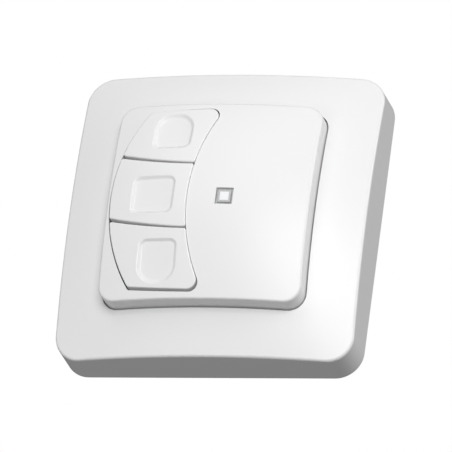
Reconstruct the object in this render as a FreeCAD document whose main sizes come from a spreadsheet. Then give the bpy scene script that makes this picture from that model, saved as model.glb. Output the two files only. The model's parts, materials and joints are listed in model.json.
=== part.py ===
import FreeCAD, Part
import math
import os
import re

import Sketcher
from FreeCAD import Placement, Rotation, Vector

# Wireless remote wall switch: an 80 mm cover frame round a domed centre plate
# with three keys, clipped on a mounting plate that is screwed to the wall.
#
# Every piece is drawn with X to the right, Y up and Z out of the wall, so its
# heights are depths from the wall. STAND_UP then turns it upright, with the
# wall at Y = 0, the front towards -Y and +Z up.

# Driving sizes in millimetres. Names ending in _x and _y are places in the
# front view, and names ending in _level are depths from the wall.
SIZES = {
    # cover frame, and the dome that it shares with the front cover
    "frame_width": 80.0,
    "frame_height": 80.0,
    "frame_corner": 7.0,
    "frame_edge_round": 0.8,
    "frame_wall": 2.2,
    "frame_skin": 2.4,
    "dome_centre": 21.1,
    "dome_edge": 13.4,
    "dome_corner": 9.5,
    "dome_margin": 3.0,
    "collar_wall": 1.6,
    "collar_level": 8.5,
    "ledge_width": 2.1,
    "ledge_thick": 1.8,
    "frame_rib": 1.2,
    "frame_rib_place": 14.0,
    "frame_rib_level": 7.0,
    # front cover
    "cover_width": 54.2,
    "cover_height": 55.2,
    "cover_corner": 4.5,
    "cover_edge_round": 0.7,
    "cover_gap": 0.35,
    "cover_lift": 4.7,
    "cover_wall": 1.6,
    "cover_skin": 2.0,
    "cover_foot_level": 12.3,
    "cover_hook_width": 6.0,
    "cover_hook_reach": 2.1,
    "cover_hook_thick": 1.4,
    "cover_hook_level": 12.7,
    "cover_hook_place": 15.0,
    # key column: a bow between two arcs, cut by arcs into three keys
    "column_side_inset": 0.8,
    "column_left_radius": 45.0,
    "column_width": 21.6,
    "column_right_radius": 55.0,
    "column_end_inset": 1.7,
    "column_end_radius": 200.0,
    "column_corner": 1.2,
    "column_outer_corner": 2.4,
    "column_window_deep": 5.2,
    "key_gap": 0.3,
    "top_gap": 0.2,
    "foot_gap": 0.6,
    "seam_gap": 0.24,
    "key_cut": 9.1,
    "key_cut_radius": 100.0,
    "key_cut_shift": 2.0,
    "key_lift": 0.3,
    "key_skin": 1.8,
    "key_skirt": 3.2,
    "key_skirt_wall": 1.2,
    "key_edge_round": 0.35,
    "key_cut_corner": 0.6,
    # finger dimples in the keys
    "dimple_outer_width": 10.9,
    "dimple_middle_width": 12.2,
    "dimple_up_end_margin": 1.5,
    "dimple_up_cut_margin": 4.3,
    "dimple_down_end_margin": 1.8,
    "dimple_down_cut_margin": 2.6,
    "dimple_middle_height": 11.0,
    "dimple_deep": 0.8,
    "dimple_slope": 50.0,
    "dimple_corner": 2.2,
    "dimple_arch": 4.9,
    "dimple_foot_round": 0.7,
    "dimple_rim_round": 0.4,
    "dimple_outer_inset": 15.0,
    "dimple_middle_inset": 12.0,
    "dimple_middle_y": 0.3,
    # hinge of the keys
    "axle_beside_column": 5.3,
    "axle_level": 19.0,
    "axle_radius": 1.0,
    "axle_play": 0.05,
    "axle_seat_play": 0.01,
    "axle_overhang": 0.8,
    "knuckle_radius": 1.9,
    "knuckle_width": 3.0,
    "knuckle_outer_inset": 5.9,
    "knuckle_inner_above_cut": 3.1,
    "knuckle_middle_below_cut": 3.7,
    "knuckle_side_play": 0.1,
    "arm_thick": 2.8,
    "arm_post_inset": 3.7,
    "arm_post_width": 2.4,
    "bracket_width": 2.0,
    # push switches under the keys
    "switch_inset": 13.3,
    "switch_end_inset": 7.3,
    "switch_width": 6.2,
    "switch_height": 3.4,
    "switch_travel": 0.3,
    "switch_rim": 0.4,
    "plunger_radius": 1.6,
    "plunger_play": 0.1,
    "plunger_rise": 1.2,
    "plunger_inside": 1.1,
    "stem_width": 1.4,
    "stem_height": 4.0,
    "stem_gap": 0.05,
    # light window, its guide and the lamp under it
    "window_beside_column": 9.9,
    "window_y": -0.2,
    "window_width": 4.5,
    "window_lens_width": 3.5,
    "window_play": 0.05,
    "window_sink": 0.1,
    "window_rim_sink": 0.8,
    "window_lens_round": 0.2,
    "window_flange": 5.6,
    "window_flange_thick": 1.0,
    "window_seat_play": 0.05,
    "guide_width": 3.0,
    "guide_gap": 0.2,
    "lamp_width": 3.0,
    "lamp_depth": 2.6,
    "lamp_height": 1.9,
    "lamp_dome_radius": 1.2,
    # circuit board
    "board_gap": 0.2,
    "board_corner": 2.0,
    "board_thick": 1.6,
    "board_level": 13.0,
    "board_hole_play": 0.08,
    "post_inset": 3.0,
    "post_radius": 2.5,
    "screw_radius": 1.1,
    "screw_play": 0.02,
    "screw_length": 7.0,
    "screw_tip_room": 0.4,
    "screw_head_radius": 2.0,
    "screw_head_height": 1.4,
    "screw_slot_width": 0.6,
    "screw_slot_deep": 0.7,
    # rear housing
    "housing_inset": 2.9,
    "housing_end_inset": 3.4,
    "housing_corner": 3.0,
    "housing_wall": 1.5,
    "housing_floor": 1.6,
    "housing_rim_above_board": 1.6,
    "cell_door_play": 1.6,
    "hook_window_play": 0.3,
    "catch_groove_level": 5.2,
    "catch_groove_height": 1.8,
    "catch_groove_deep": 0.8,
    "catch_groove_width": 12.0,
    # wall plate
    "wall_plate_gap": 0.3,
    "wall_plate_corner": 5.0,
    "wall_plate_thick": 2.4,
    "slot_spacing": 60.0,
    "slot_radius": 1.9,
    "slot_length": 7.0,
    "slot_recess_width": 2.0,
    "slot_recess_deep": 1.0,
    "arm_width": 10.0,
    "arm_wall": 1.3,
    "arm_gap": 0.25,
    "arm_sink": 0.2,
    "catch_play": 0.2,
    "plate_rib_width": 1.4,
    "plate_rib_height": 1.6,
    "plate_rib_inset": 4.5,
    # coin cell and its holder on the back of the board
    "cell_x": 4.0,
    "cell_y": -6.0,
    "cell_radius": 10.0,
    "cell_thick": 3.2,
    "cell_play": 0.15,
    "cell_edge_round": 0.35,
    "holder_wall": 1.35,
    "holder_floor": 0.8,
    "holder_corner": 1.0,
    "holder_finger_width": 8.0,
    "leaf_thick": 0.3,
    "leaf_width": 6.0,
    "leaf_length": 16.0,
    "rivet_radius": 0.9,
    "rivet_play": 0.05,
    "clip_width": 7.0,
    "clip_foot": 2.6,
    # pairing switch on the back of the board
    "learn_inset": 7.5,
    "learn_end_inset": 8.5,
    "learn_tip_level": 3.0,
    # chips, crystal, capacitors and aerial
    "control_chip_inset": 7.5,
    "control_chip_y": -8.0,
    "control_chip_width": 7.0,
    "control_chip_height": 7.7,
    "radio_chip_inset": 8.5,
    "radio_chip_y": 8.0,
    "radio_chip_width": 5.0,
    "radio_chip_height": 5.5,
    "chip_case_gap": 0.1,
    "chip_thick": 1.0,
    "chip_pin_reach": 1.0,
    "chip_pin_root": 0.4,
    "chip_pin_foot": 0.4,
    "chip_pin_level": 0.45,
    "chip_pin_thick": 0.15,
    "chip_pin_width": 0.4,
    "chip_pin_pitch": 1.1,
    "chip_pins": 5,
    "crystal_inset": 8.5,
    "crystal_y": 14.6,
    "crystal_length": 8.0,
    "crystal_width": 3.4,
    "crystal_height": 2.4,
    "crystal_base_height": 0.4,
    "crystal_rim": 0.4,
    "crystal_flat": 0.1,
    "capacitor_length": 1.8,
    "capacitor_width": 1.0,
    "capacitor_height": 0.9,
    "capacitor_inset": 8.5,
    "capacitor_y": 3.0,
    "capacitor_pitch": 2.4,
    "capacitor_count": 4,
    "aerial_radius": 0.4,
    "aerial_inset": 1.9,
    "aerial_rise": 2.4,
    "aerial_end_inset": 7.5,
    "aerial_bend": 1.4,
}

# Places and sizes that follow from the driving sizes, as formulas of the sheet.
FOLLOWING = {
    "wall_plate_width": "frame_width - 2 * frame_wall - 2 * wall_plate_gap",
    "wall_plate_height": "frame_height - 2 * frame_wall - 2 * wall_plate_gap",
    "plate_rib_x": "wall_plate_width / 2 - plate_rib_inset",
    "plate_rib_y": "wall_plate_height / 2 - plate_rib_inset",
    "housing_width": "cover_width - 2 * housing_inset",
    "housing_height": "cover_height - 2 * housing_end_inset",
    "cell_door_radius": "cell_radius + cell_door_play",
    "holder_width": "2 * (cell_radius + cell_play + holder_wall)",
    "board_width": "housing_width - 2 * housing_wall - 2 * board_gap",
    "board_height": "housing_height - 2 * housing_wall - 2 * board_gap",
    "post_x": "board_width / 2 - post_inset",
    "post_y": "board_height / 2 - post_inset",
    "column_left": "column_side_inset - cover_width / 2",
    "column_right": "column_left + column_width",
    "column_end": "cover_height / 2 - column_end_inset",
    "dimple_outer_x": "column_left + dimple_outer_inset",
    "dimple_up_height": "column_end - key_cut - dimple_up_end_margin - dimple_up_cut_margin",
    "dimple_up_y": "column_end - dimple_up_end_margin - dimple_up_height / 2",
    "dimple_down_height": "column_end - key_cut - dimple_down_end_margin - dimple_down_cut_margin",
    "dimple_down_y": "dimple_down_end_margin + dimple_down_height / 2 - column_end",
    "dimple_middle_x": "column_left + dimple_middle_inset",
    "axle_x": "column_right + axle_beside_column",
    "knuckle_outer_y": "column_end - knuckle_outer_inset",
    "knuckle_inner_y": "key_cut + knuckle_inner_above_cut",
    "knuckle_middle_y": "key_cut - knuckle_middle_below_cut",
    "bracket_inner_y": "(knuckle_inner_y + knuckle_middle_y) / 2",
    "bracket_outer_y": "knuckle_outer_y + (knuckle_width + bracket_width) / 2 + knuckle_side_play",
    "axle_end_y": "bracket_outer_y + axle_overhang",
    "arm_post_x": "column_right - arm_post_inset",
    "switch_x": "column_left + switch_inset",
    "switch_y": "column_end - switch_end_inset",
    "window_x": "column_right + window_beside_column",
    "learn_x": "learn_inset - board_width / 2",
    "learn_y": "learn_end_inset - board_height / 2",
    "aerial_x": "board_width / 2 - aerial_inset",
    "aerial_half_length": "board_height / 2 - aerial_end_inset",
    "control_chip_x": "board_width / 2 - control_chip_inset",
    "radio_chip_x": "board_width / 2 - radio_chip_inset",
    "crystal_x": "board_width / 2 - crystal_inset",
    "capacitor_x": "board_width / 2 - capacitor_inset",
}

STAND_UP = Placement(Vector(0, 0, 0), Rotation(Vector(1, 0, 0), 90))
FAR = 60.0
TINY = 0.01
NODES = []

doc = FreeCAD.newDocument("WallRemote")
sheet = doc.addObject("Spreadsheet::Sheet", "Sizes")
for row, (alias, number) in enumerate(SIZES.items(), start=1):
    sheet.set(f"A{row}", alias)
    sheet.set(f"B{row}", str(number))
    sheet.setAlias(f"B{row}", alias)
for row, (alias, formula) in enumerate(FOLLOWING.items(), start=len(SIZES) + 1):
    sheet.set(f"A{row}", alias)
    sheet.set(f"B{row}", f"={formula}")
    sheet.setAlias(f"B{row}", alias)
doc.recompute()


def size(alias):
    """A size from the sheet as a number."""
    return float(sheet.get(alias))


def bound(formula):
    """A formula in the sheet's aliases, as an expression of the document."""
    text = str(formula)
    return re.sub(r"[a-z][a-z_]*", lambda word: "Sizes." + word.group(0), text)


def tie(thing, prop, formula):
    """Bind one property to a formula in the sheet's aliases."""
    thing.setExpression(prop, bound(formula))


# Solids from primitives

def block(name, width, height, low, high, x="0", y="0"):
    """A box centred on (x, y) that reaches from one depth to another."""
    box = doc.addObject("Part::Box", name)
    tie(box, "Length", width)
    tie(box, "Width", height)
    tie(box, "Height", f"{high} - ({low})")
    tie(box, "Placement.Base.x", f"{x} - ({width}) / 2")
    tie(box, "Placement.Base.y", f"{y} - ({height}) / 2")
    tie(box, "Placement.Base.z", low)
    return box


def disc(name, radius, low, high, x="0", y="0"):
    """An upright cylinder, its axis out of the wall."""
    cylinder = doc.addObject("Part::Cylinder", name)
    tie(cylinder, "Radius", radius)
    tie(cylinder, "Height", f"{high} - ({low})")
    tie(cylinder, "Placement.Base.x", x)
    tie(cylinder, "Placement.Base.y", y)
    tie(cylinder, "Placement.Base.z", low)
    return cylinder


def bar(name, radius, start, end, x, level):
    """A round bar along Y, from one height to another."""
    cylinder = doc.addObject("Part::Cylinder", name)
    tie(cylinder, "Radius", radius)
    tie(cylinder, "Height", f"{end} - ({start})")
    cylinder.Placement = Placement(Vector(0, 0, 0), Rotation(Vector(1, 0, 0), -90))
    tie(cylinder, "Placement.Base.x", x)
    tie(cylinder, "Placement.Base.y", start)
    tie(cylinder, "Placement.Base.z", level)
    return cylinder


def cut(name, base, *tools):
    """The base less every tool."""
    result = base
    for number, tool in enumerate(tools):
        step = doc.addObject("Part::Cut", f"{name}_cut_{number}")
        step.Base = result
        step.Tool = tool
        result = step
    return result


def common(name, base, tool):
    result = doc.addObject("Part::Common", name)
    result.Base = base
    result.Tool = tool
    return result


def fuse(name, *shapes):
    result = doc.addObject("Part::MultiFuse", name)
    result.Shapes = list(shapes)
    result.Refine = True
    return result


def is_upright(edge):
    """True for an edge that runs straight out of the wall."""
    ends = edge.Vertexes
    if len(ends) < 2:
        return False
    along = ends[1].Point - ends[0].Point
    return math.hypot(along.x, along.y) < 1e-4 and abs(along.z) > 1e-4


def round_edges(name, base, radius, wanted):
    """Round the wanted edges of a shape. radius is a number or a function of the edge."""
    doc.recompute()
    chosen = []
    for number, edge in enumerate(base.Shape.Edges, start=1):
        if wanted(edge):
            amount = radius(edge) if callable(radius) else radius
            chosen.append((number, amount, amount))
    result = doc.addObject("Part::Fillet", name)
    result.Base = base
    result.Edges = chosen
    return result


# Bodies from sketches

def new_body(name):
    return doc.addObject("PartDesign::Body", name)


def sketch_at(body, name, level, x="0", y="0"):
    """A sketch parallel to the wall at a depth, its origin at (x, y)."""
    sketch = body.newObject("Sketcher::SketchObject", name)
    plane = next(item for item in body.Origin.OriginFeatures if item.Role == "XY_Plane")
    sketch.AttachmentSupport = (plane, "")
    sketch.MapMode = "FlatFace"
    tie(sketch, "AttachmentOffset.Base.x", x)
    tie(sketch, "AttachmentOffset.Base.y", y)
    tie(sketch, "AttachmentOffset.Base.z", level)
    return sketch


def named(sketch, constraint, name, formula):
    """Add a dimension to a sketch and bind it to a formula."""
    index = sketch.addConstraint(constraint)
    sketch.renameConstraint(index, name)
    tie(sketch, f"Constraints.{name}", formula)


def draw_rectangle(sketch, width, height):
    """A rectangle centred on the sketch's origin."""
    first = sketch.GeometryCount
    corners = [Vector(-5, -5, 0), Vector(5, -5, 0), Vector(5, 5, 0), Vector(-5, 5, 0)]
    for start, end in zip(corners, corners[1:] + corners[:1]):
        sketch.addGeometry(Part.LineSegment(start, end))
    for side in range(4):
        following = first + (side + 1) % 4
        sketch.addConstraint(Sketcher.Constraint("Coincident", first + side, 2, following, 1))
        direction = "Horizontal" if side % 2 == 0 else "Vertical"
        sketch.addConstraint(Sketcher.Constraint(direction, first + side))
    sketch.addConstraint(Sketcher.Constraint("Symmetric", first, 1, first + 2, 1, -1, 1))
    named(sketch, Sketcher.Constraint("DistanceX", first, 1, first, 2, 10.0), "width", width)
    named(sketch, Sketcher.Constraint("DistanceY", first + 1, 1, first + 1, 2, 10.0), "height", height)


def draw_circle(sketch, radius):
    """A circle centred on the sketch's origin."""
    circle = sketch.addGeometry(Part.Circle(Vector(0, 0, 0), Vector(0, 0, 1), 2.0))
    sketch.addConstraint(Sketcher.Constraint("Coincident", circle, 3, -1, 1))
    named(sketch, Sketcher.Constraint("Radius", circle, 2.0), "radius", radius)


def draw_slot(sketch, length, radius, upright):
    """A slot with round ends, centred on the sketch's origin."""
    half = 3.0
    end = Vector(0, half, 0) if upright else Vector(half, 0, 0)
    side = Vector(-1, 0, 0) if upright else Vector(0, 1, 0)
    turn = math.pi / 2 if upright else 0.0
    quarter = math.pi / 2
    far_arc = sketch.addGeometry(Part.ArcOfCircle(
        Part.Circle(end, Vector(0, 0, 1), 1.0), turn - quarter, turn + quarter))
    top = sketch.addGeometry(Part.LineSegment(end + side, side - end))
    near_arc = sketch.addGeometry(Part.ArcOfCircle(
        Part.Circle(end.negative(), Vector(0, 0, 1), 1.0), turn + quarter, turn + 3 * quarter))
    low = sketch.addGeometry(Part.LineSegment(end.negative() - side, end - side))
    for one, other in ((far_arc, top), (top, near_arc), (near_arc, low), (low, far_arc)):
        sketch.addConstraint(Sketcher.Constraint("Tangent", one, 2, other, 1))
    sketch.addConstraint(Sketcher.Constraint("Vertical" if upright else "Horizontal", top))
    sketch.addConstraint(Sketcher.Constraint("Symmetric", far_arc, 3, near_arc, 3, -1, 1))
    sketch.addConstraint(Sketcher.Constraint("Equal", far_arc, near_arc))
    named(sketch, Sketcher.Constraint("Radius", far_arc, 1.0), "radius", radius)
    kind = "DistanceY" if upright else "DistanceX"
    named(sketch, Sketcher.Constraint(kind, near_arc, 3, far_arc, 3, 6.0), "reach",
          f"{length} - 2 * {radius}")


def pad(body, sketch, length):
    feature = body.newObject("PartDesign::Pad", sketch.Name + "_pad")
    feature.Profile = sketch
    tie(feature, "Length", length)
    sketch.Visibility = False
    return feature


def pocket(body, sketch, length):
    """A pocket from the sketch's plane out of the wall, towards the front."""
    feature = body.newObject("PartDesign::Pocket", sketch.Name + "_pocket")
    feature.Profile = sketch
    feature.Reversed = True
    tie(feature, "Length", length)
    return feature


def soften(body, feature, radius, wanted=is_upright):
    """Round the wanted edges of a body's last feature."""
    doc.recompute()
    rounded = body.newObject("PartDesign::Fillet", feature.Name + "_round")
    edges = feature.Shape.Edges
    rounded.Base = (feature, [f"Edge{n}" for n, edge in enumerate(edges, start=1) if wanted(edge)])
    tie(rounded, "Radius", radius)
    return rounded


def rounded_slab(name, width, height, corner, low, high, x="0", y="0"):
    """A slab with rounded corners, from one depth to another."""
    body = new_body(name)
    outline = sketch_at(body, name + "_outline", low, x, y)
    draw_rectangle(outline, width, height)
    slab = pad(body, outline, f"{high} - ({low})")
    soften(body, slab, corner)
    return body


def group(name, solids):
    """Like pieces in one node, as separate solids."""
    doc.recompute()
    result = doc.addObject("Part::Feature", name)
    result.Shape = Part.makeCompound([item.Shape for item in solids])
    return result


def keep(thing, label, turn=None):
    """Name a finished piece and stand it up in the part's frame."""
    thing.Label = label
    thing.Placement = STAND_UP.multiply(turn) if turn else STAND_UP
    NODES.append(thing)


# The dome that the frame, the cover and the keys share

def dome_height(x_square, y_square):
    """Depth of the frame's dome from the wall, from the squares of two distances."""
    half_square = (size("frame_width") / 2) ** 2
    fall = size("dome_edge") - size("dome_centre")
    twist = size("dome_corner") - 2 * size("dome_edge") + size("dome_centre")
    across = x_square / half_square
    up = y_square / half_square
    return size("dome_centre") + fall * (across + up) + twist * across * up


def dome_slab(name, lift, thick):
    """All that lies up to a thickness under the dome, raised by lift."""
    reach = max(size("frame_width"), size("frame_height")) / 2 + size("dome_margin")
    places = (-reach, 0.0, reach)
    squares = (reach ** 2, -reach ** 2, reach ** 2)
    patch = Part.BezierSurface()
    patch.increase(2, 2)
    for i in range(3):
        for j in range(3):
            level = dome_height(squares[i], squares[j]) + lift
            patch.setPole(i + 1, j + 1, Vector(places[i], places[j], level))
    slab = doc.addObject("Part::Feature", name)
    slab.Shape = patch.toShape().extrude(Vector(0, 0, -thick))
    return slab


def dome_edges(low):
    """A test for the edges round a domed front, which lie above a depth and aren't upright."""
    def wanted(edge):
        return not is_upright(edge) and min(vertex.Point.z for vertex in edge.Vertexes) > low
    return wanted


DEEP = 2 * size("dome_centre")


# Cover frame: a domed shell, hollow behind, with a collar round its opening
# and a ledge in the collar that the front cover stands on

def make_cover_frame():
    opening_width = "cover_width + 2 * cover_gap"
    opening_height = "cover_height + 2 * cover_gap"
    opening_corner = "cover_corner + cover_gap"
    blank = rounded_slab("frame_blank", "frame_width", "frame_height", "frame_corner", "0", FAR)
    shell = common("frame_dome_cut", blank, dome_slab("frame_dome", 0.0, DEEP))
    shell = round_edges("frame_round", shell, size("frame_edge_round"), dome_edges(TINY))
    hollow = rounded_slab("frame_hollow", "frame_width - 2 * frame_wall",
                          "frame_height - 2 * frame_wall", "frame_corner - frame_wall", "-1", FAR)
    hollow = common("frame_hollow_dome", hollow,
                    dome_slab("frame_inner_dome", -size("frame_skin"), DEEP))
    collar = rounded_slab("frame_collar", f"{opening_width} + 2 * collar_wall",
                          f"{opening_height} + 2 * collar_wall",
                          f"{opening_corner} + collar_wall", "collar_level", FAR)
    ribs = []
    for sign in (-1, 1):
        place = f"{sign} * frame_rib_place"
        ribs.append(block(f"frame_rib_up_{sign + 1}", "frame_rib", "frame_height",
                          "frame_rib_level", FAR, place, "0"))
        ribs.append(block(f"frame_rib_across_{sign + 1}", "frame_width", "frame_rib",
                          "frame_rib_level", FAR, "0", place))
    hollow = cut("frame_hollow_left", hollow, collar, *ribs)
    ledge_top = "cover_foot_level"
    ledge_low = "cover_foot_level - ledge_thick"
    front_hole = rounded_slab("frame_opening", opening_width, opening_height, opening_corner,
                              ledge_top, FAR)
    rear_hole = rounded_slab("frame_rear_opening", opening_width, opening_height, opening_corner,
                             "-1", ledge_low)
    ledge_hole = rounded_slab("frame_ledge_opening", f"{opening_width} - 2 * ledge_width",
                              f"{opening_height} - 2 * ledge_width",
                              f"{opening_corner} - ledge_width", "-1", FAR)
    keep(cut("cover_frame_shape", shell, hollow, front_hole, rear_hole, ledge_hole), "cover_frame")


# Key column

def column_prism(name, side, top, foot, seam):
    """The key column's outline as a prism, drawn in on its left, top, foot and right."""
    left_centre = "column_left + column_left_radius"
    right_centre = "column_right + column_right_radius"
    left = disc(name + "_left", f"column_left_radius - ({side})", "cover_foot_level", FAR,
                left_centre)
    right = disc(name + "_right", f"column_right_radius + {seam}", "0", 2 * FAR, right_centre)
    ends = []
    for sign, end in ((-1, top), (1, foot)):
        ends.append(disc(f"{name}_end_{sign + 1}", f"column_end_radius - ({end})", "0", 2 * FAR,
                         "0", f"{sign} * (column_end_radius - column_end)"))
    outline = cut(name + "_bow", common(name + "_ends", common(name + "_end", left, ends[0]),
                                        ends[1]), right)

    def corner(edge):
        near_seam = edge.Vertexes[0].Point.x > size("dimple_middle_x")
        return size("column_outer_corner") if near_seam else size("column_corner")

    return round_edges(name + "_corners", outline, corner, is_upright)


def key_cut_disc(name, level_sign, offset, shift):
    """The large disc whose edge is the cut between two keys, grown by offset.

    shift moves it to the left, which widens the cut towards the left.
    """
    return disc(name, f"key_cut_radius + {offset}", "0", 2 * FAR, f"0 - ({shift})",
                f"key_cut_radius + {level_sign} * key_cut")


def arch_block(name, width, height, upper_corner, lower_corner, low, deep, slope):
    """A dish with sloping walls and a rounded foot, widest at the top."""
    half_width = size(width) / 2
    half_height = size(height) / 2
    shrink = deep * math.tan(math.radians(slope))
    wires = []
    for level, change in ((low, -shrink), (low + 2 * deep, shrink)):
        wires.append(arch_wire(half_width + change, half_height + change,
                               upper_corner + change, lower_corner + change, level))
    shape = Part.makeLoft(wires, True, True)
    foot = [edge for edge in shape.Edges
            if max(vertex.Point.z for vertex in edge.Vertexes) < low + deep / 2]
    dish = doc.addObject("Part::Feature", name)
    dish.Shape = shape.makeFillet(size("dimple_foot_round"), foot)
    return dish


def arch_wire(half_width, half_height, upper, lower, level):
    """A rectangle with one radius at its upper corners and one at its lower corners."""
    corners = ((1, -1, lower, -90), (1, 1, upper, 0), (-1, 1, upper, 90), (-1, -1, lower, 180))
    arcs = []
    for sign_x, sign_y, radius, start in corners:
        centre = Vector(sign_x * (half_width - radius), sign_y * (half_height - radius), level)
        circle = Part.Circle(centre, Vector(0, 0, 1), radius)
        first = math.radians(start)
        arcs.append(Part.ArcOfCircle(circle, first, first + math.pi / 2))
    edges = []
    for arc, following in zip(arcs, arcs[1:] + arcs[:1]):
        edges.append(arc.toShape())
        end = arc.value(arc.LastParameter)
        start = following.value(following.FirstParameter)
        if end.distanceToPoint(start) > 1e-6:
            edges.append(Part.LineSegment(end, start).toShape())
    return Part.Wire(edges)


def dimple_tool(name, x, y, width, height, upper, lower):
    """A dimple's dish, square to the dome at its centre."""
    dish = arch_block(name, width, height, upper, lower, 0.0, size("dimple_deep"),
                      size("dimple_slope"))
    here = dome_height(x * x, y * y)
    across = (dome_height((x + TINY) ** 2, y * y) - here) / TINY
    up = (dome_height(x * x, (y + TINY) ** 2) - here) / TINY
    normal = Vector(-across, -up, 1).normalize()
    top = Vector(x, y, here + size("cover_lift") + size("key_lift"))
    dish.Placement = Placement(top - normal * size("dimple_deep"), Rotation(Vector(0, 0, 1), normal))
    return dish


def dimple_rim(x, y, width, height):
    """A test for the edges of a dimple centred on (x, y) where it meets the key's dome."""
    reach = math.hypot(size(width), size(height)) / 2

    def wanted(edge):
        point = edge.Vertexes[0].Point
        level = dome_height(point.x ** 2, point.y ** 2) + size("cover_lift") + size("key_lift")
        return math.hypot(point.x - x, point.y - y) < reach and abs(point.z - level) < TINY / 10
    return wanted


def key_turn():
    """Angle that a key turns through, from the travel of the switch under it."""
    lever = size("axle_x") - size("switch_x")
    return math.degrees(math.asin(size("switch_travel") / lever))


def make_key(label, above, below, dimple, corners, switch_y, arms):
    """One key, drawn pressed, flush with the cover, then turned out to rest.

    above and below are the cuts that bound it, dimple the place, width and height
    of its dish, corners the dish's upper and lower radius, switch_y the height of
    its switch and arms the heights of its two hinge arms.
    """
    outline = column_prism(label + "_outline", "key_gap", "top_gap", "foot_gap", "seam_gap")
    panel = common(label + "_dome_cut", outline,
                   dome_slab(label + "_dome", size("cover_lift") + size("key_lift"),
                             size("key_skirt")))
    if above:
        disc_above = key_cut_disc(label + "_above", above, "key_gap / 2", "key_cut_shift")
        panel = cut(label + "_top", panel, disc_above)
    if below:
        disc_below = key_cut_disc(label + "_below", below, "0 - key_gap / 2", "0")
        panel = common(label + "_foot", panel, disc_below)
    middle = size("cover_lift") + size("key_lift") - size("key_skirt") / 2

    def at_cut(edge):
        return is_upright(edge) and abs(edge.Vertexes[0].Point.y) < size("switch_y")

    def front(edge):
        place = edge.Vertexes[0].Point
        level = dome_height(place.x ** 2, place.y ** 2) + middle
        return not is_upright(edge) and place.z > level

    panel = round_edges(label + "_cut_corners", panel, size("key_cut_corner"), at_cut)
    panel = round_edges(label + "_round", panel, size("key_edge_round"), front)
    inner = column_prism(label + "_inner", "key_gap + key_skirt_wall",
                         "top_gap + key_skirt_wall", "foot_gap + key_skirt_wall",
                         "seam_gap + key_skirt_wall")
    inner = common(label + "_inner_dome", inner,
                   dome_slab(label + "_inner_dome_slab",
                             size("cover_lift") + size("key_lift") - size("key_skin"), DEEP / 2))
    if above:
        inner = cut(label + "_inner_top", inner,
                    key_cut_disc(label + "_inner_above", above, "key_gap / 2 + key_skirt_wall",
                                 "key_cut_shift"))
    if below:
        inner = common(label + "_inner_foot", inner,
                       key_cut_disc(label + "_inner_below", below,
                                    "0 - key_gap / 2 - key_skirt_wall", "0"))
    panel = cut(label + "_hollow", panel, inner)
    panel = cut(label + "_dimpled", panel, dimple_tool(label + "_dimple", *dimple, *corners))
    panel = round_edges(label + "_rim", panel, size("dimple_rim_round"), dimple_rim(*dimple))
    tip = "board_level + board_thick + switch_height + plunger_rise - switch_travel + stem_gap"
    inside = "dome_centre + cover_lift + key_lift - key_skin"
    parts = [panel]
    roof = dome_slab(label + "_roof", size("cover_lift") + size("key_lift")
                     - size("key_skin") / 2, DEEP)
    stem = block(label + "_stem", "stem_width", "stem_height", tip, inside, "switch_x", switch_y)
    parts.append(common(label + "_stem_cut", stem, roof))
    for number, arm_y in enumerate(arms):
        low = "axle_level - arm_thick / 2"
        post = block(f"{label}_post_{number}", "arm_post_width", "knuckle_width", low, inside,
                     "arm_post_x", arm_y)
        parts.append(common(f"{label}_post_cut_{number}", post, roof))
        parts.append(block(f"{label}_arm_{number}", "axle_x - arm_post_x", "knuckle_width", low,
                           "axle_level + arm_thick / 2", "(axle_x + arm_post_x) / 2", arm_y))
        parts.append(bar(f"{label}_knuckle_{number}", "knuckle_radius",
                         f"{arm_y} - knuckle_width / 2", f"{arm_y} + knuckle_width / 2",
                         "axle_x", "axle_level"))
    key = fuse(label + "_body", *parts)
    bore = bar(label + "_bore", "axle_radius + axle_play", "0 - column_end", "column_end",
               "axle_x", "axle_level")
    key = cut(label + "_shape", key, bore)
    centre = Vector(size("axle_x"), 0, size("axle_level"))
    turn = Placement(Vector(0, 0, 0), Rotation(Vector(0, 1, 0), key_turn()), centre)
    keep(key, label, turn)


def make_keys():
    corner = size("dimple_corner")
    straight = 2 * size("dimple_rim_round")
    up_arch, down_arch = (
        min(size("dimple_arch"), size(f"dimple_{key}_height") - corner - straight)
        for key in ("up", "down"))
    outer_x = size("dimple_outer_x")
    up_dimple = (outer_x, size("dimple_up_y"), "dimple_outer_width", "dimple_up_height")
    stop_dimple = (size("dimple_middle_x"), size("dimple_middle_y"), "dimple_middle_width",
                   "dimple_middle_height")
    down_dimple = (outer_x, size("dimple_down_y"), "dimple_outer_width", "dimple_down_height")
    make_key("up_key", 0, 1, up_dimple, (up_arch, corner), "switch_y",
             ("knuckle_inner_y", "knuckle_outer_y"))
    make_key("stop_key", 1, -1, stop_dimple, (corner, corner), "0",
             ("0 - knuckle_middle_y", "knuckle_middle_y"))
    make_key("down_key", -1, 0, down_dimple, (corner, down_arch), "0 - switch_y",
             ("0 - knuckle_outer_y", "0 - knuckle_inner_y"))


# Front cover: a domed plate with a skirt, brackets for the keys' axle and four
# hooks that snap into the rear housing

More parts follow.
